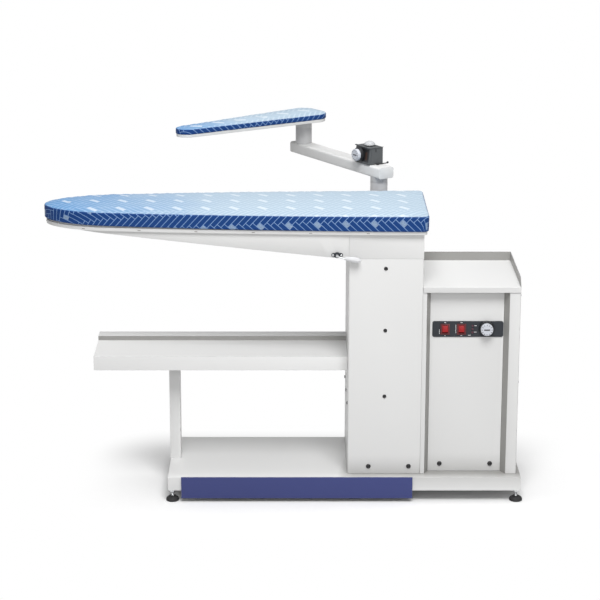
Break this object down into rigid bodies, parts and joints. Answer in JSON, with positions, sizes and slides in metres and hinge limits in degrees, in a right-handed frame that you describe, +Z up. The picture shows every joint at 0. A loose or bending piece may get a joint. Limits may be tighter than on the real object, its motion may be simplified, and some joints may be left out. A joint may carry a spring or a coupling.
{
  "type": "vacuum ironing table",
  "caption": "Vacuum ironing table: padded board on a fan column, control cabinet with iron shelf, cloth tray, foot pedal, and a swivel arm with a sleeve board.",
  "frame": {"origin": "middle of the footprint at the floor", "axes": "+X to the right of the person ironing, toward the cabinet; +Y away from the person; +Z up"},
  "size_m": [1.4748, 0.8966, 1.0758],
  "materials": {
    "casing": "light grey powder coat",
    "dark_paint": "dark grey powder coat",
    "pillar_paint": "mid grey powder coat",
    "pedal_paint": "blue powder coat",
    "bare_steel": "zinc plated",
    "cast_alloy": "as cast",
    "cover_cloth": "woven cotton with a light blue line pattern",
    "rubber": "matt",
    "black_plastic": "fine grain",
    "white_plastic": "smooth",
    "red_plastic": "smooth, lit from inside"
  },
  "bodies": {
    "frame": {"base_pan": "casing", "foot_stem_front_left": "bare_steel", "foot_pad_front_left": "rubber", "foot_stem_front_right": "bare_steel", "foot_pad_front_right": "rubber", "foot_stem_rear_left": "bare_steel", "foot_pad_rear_left": "rubber", "foot_stem_rear_right": "bare_steel", "foot_pad_rear_right": "rubber", "column_shell": "casing", "column_rear_cover": "casing", "column_top_box": "casing", "wedge_duct": "casing", "damper_flange": "dark_paint", "board_pan": "casing", "board_grid": "bare_steel", "board_heater": "bare_steel", "board_cover": "cover_cloth", "cabinet_shell": "casing", "cabinet_front_panel": "casing", "cabinet_side_cover": "casing", "iron_shelf": "casing", "control_plate": "dark_paint", "vacuum_rocker_housing": "black_plastic", "heater_rocker_housing": "black_plastic", "lamp_1": "red_plastic", "lamp_2": "red_plastic", "lamp_3": "red_plastic", "thermostat_body": "black_plastic", "cloth_tray": "casing", "tray_post": "casing", "pedal_rod": "bare_steel", "pedal_spring": "bare_steel", "pedal_switch": "black_plastic", "fan_deck": "bare_steel", "fan_scroll": "bare_steel", "fan_motor": "cast_alloy", "electrics_plate": "bare_steel", "contactor": "black_plastic", "cable_gland": "black_plastic", "arm_bracket": "casing", "arm_post": "pillar_paint"},
    "pedal": {"pedal_bar": "pedal_paint"},
    "damper": {"damper_lever": "bare_steel", "damper_grip": "white_plastic", "damper_flap": "bare_steel"},
    "vacuum_key": {"vacuum_rocker": "red_plastic"},
    "heater_key": {"heater_rocker": "red_plastic"},
    "board_dial": {"thermostat_knob": "white_plastic"},
    "fan_rotor": {"fan_wheel": "cast_alloy"},
    "arm": {"arm_tube": "casing", "sleeve_pillar": "pillar_paint", "arm_control_housing": "dark_paint", "arm_thermostat_body": "black_plastic"},
    "sleeve_board": {"sleeve_pan": "casing", "sleeve_cover": "cover_cloth"},
    "sleeve_dial": {"arm_thermostat_knob": "white_plastic"},
    "sleeve_button": {"arm_button": "white_plastic"},
    "air_valve": {"air_lever": "bare_steel", "air_flap": "bare_steel"}
  },
  "joints": [
    {"name": "pedal_hinge", "type": "hinge", "parent": "frame", "child": "pedal", "pos_m": [0.03837, -0.29025, 0.052], "axis": [1, 0, 0], "range_deg": [0, 3.3], "stiffness_Nm_per_rad": 20, "springref_deg": -14.32, "deforming": ["pedal_spring"]},
    {"name": "damper_hinge", "type": "hinge", "parent": "frame", "child": "damper", "pos_m": [0.15957, -0.40325, 0.7786], "axis": [0, 1, 0], "range_deg": [0, 80]},
    {"name": "vacuum_rocker_hinge", "type": "hinge", "parent": "frame", "child": "vacuum_key", "pos_m": [0.49137, -0.37705, 0.539], "axis": [1, 0, 0], "range_deg": [0, 22]},
    {"name": "heater_rocker_hinge", "type": "hinge", "parent": "frame", "child": "heater_key", "pos_m": [0.54137, -0.37705, 0.539], "axis": [1, 0, 0], "range_deg": [0, 22]},
    {"name": "board_dial_spindle", "type": "hinge", "parent": "frame", "child": "board_dial", "pos_m": [0.61787, -0.38255, 0.542], "axis": [0, 1, 0], "range_deg": [0, 300]},
    {"name": "fan_shaft", "type": "hinge", "parent": "frame", "child": "fan_rotor", "pos_m": [0.30857, -0.25325, 0.3033], "axis": [0, 0, 1], "continuous": true},
    {"name": "arm_swivel", "type": "hinge", "parent": "frame", "child": "arm", "pos_m": [0.30057, 0.00475, 0.9318], "axis": [0, 0, 1], "range_deg": [-110, 110]},
    {"name": "sleeve_swivel", "type": "hinge", "parent": "arm", "child": "sleeve_board", "pos_m": [0.0633, 0.37291, 1.0188], "axis": [0, 0, 1], "range_deg": [-150, 150]},
    {"name": "sleeve_dial_spindle", "type": "hinge", "parent": "arm", "child": "sleeve_dial", "pos_m": [0.24092, 0.04007, 0.9963], "axis": [-0.8406, -0.5417, 0], "range_deg": [0, 300]},
    {"name": "sleeve_button_slide", "type": "slide", "parent": "arm", "child": "sleeve_button", "axis": [0, 0, -1], "range_m": [0, 0.003], "stiffness_N_per_m": 300, "springref_m": -0.01},
    {"name": "air_valve_spindle", "type": "hinge", "parent": "arm", "child": "air_valve", "pos_m": [0.29678, 0.01063, 0.968], "axis": [0, 0, 1], "range_deg": [-90, 0]}
  ]
}
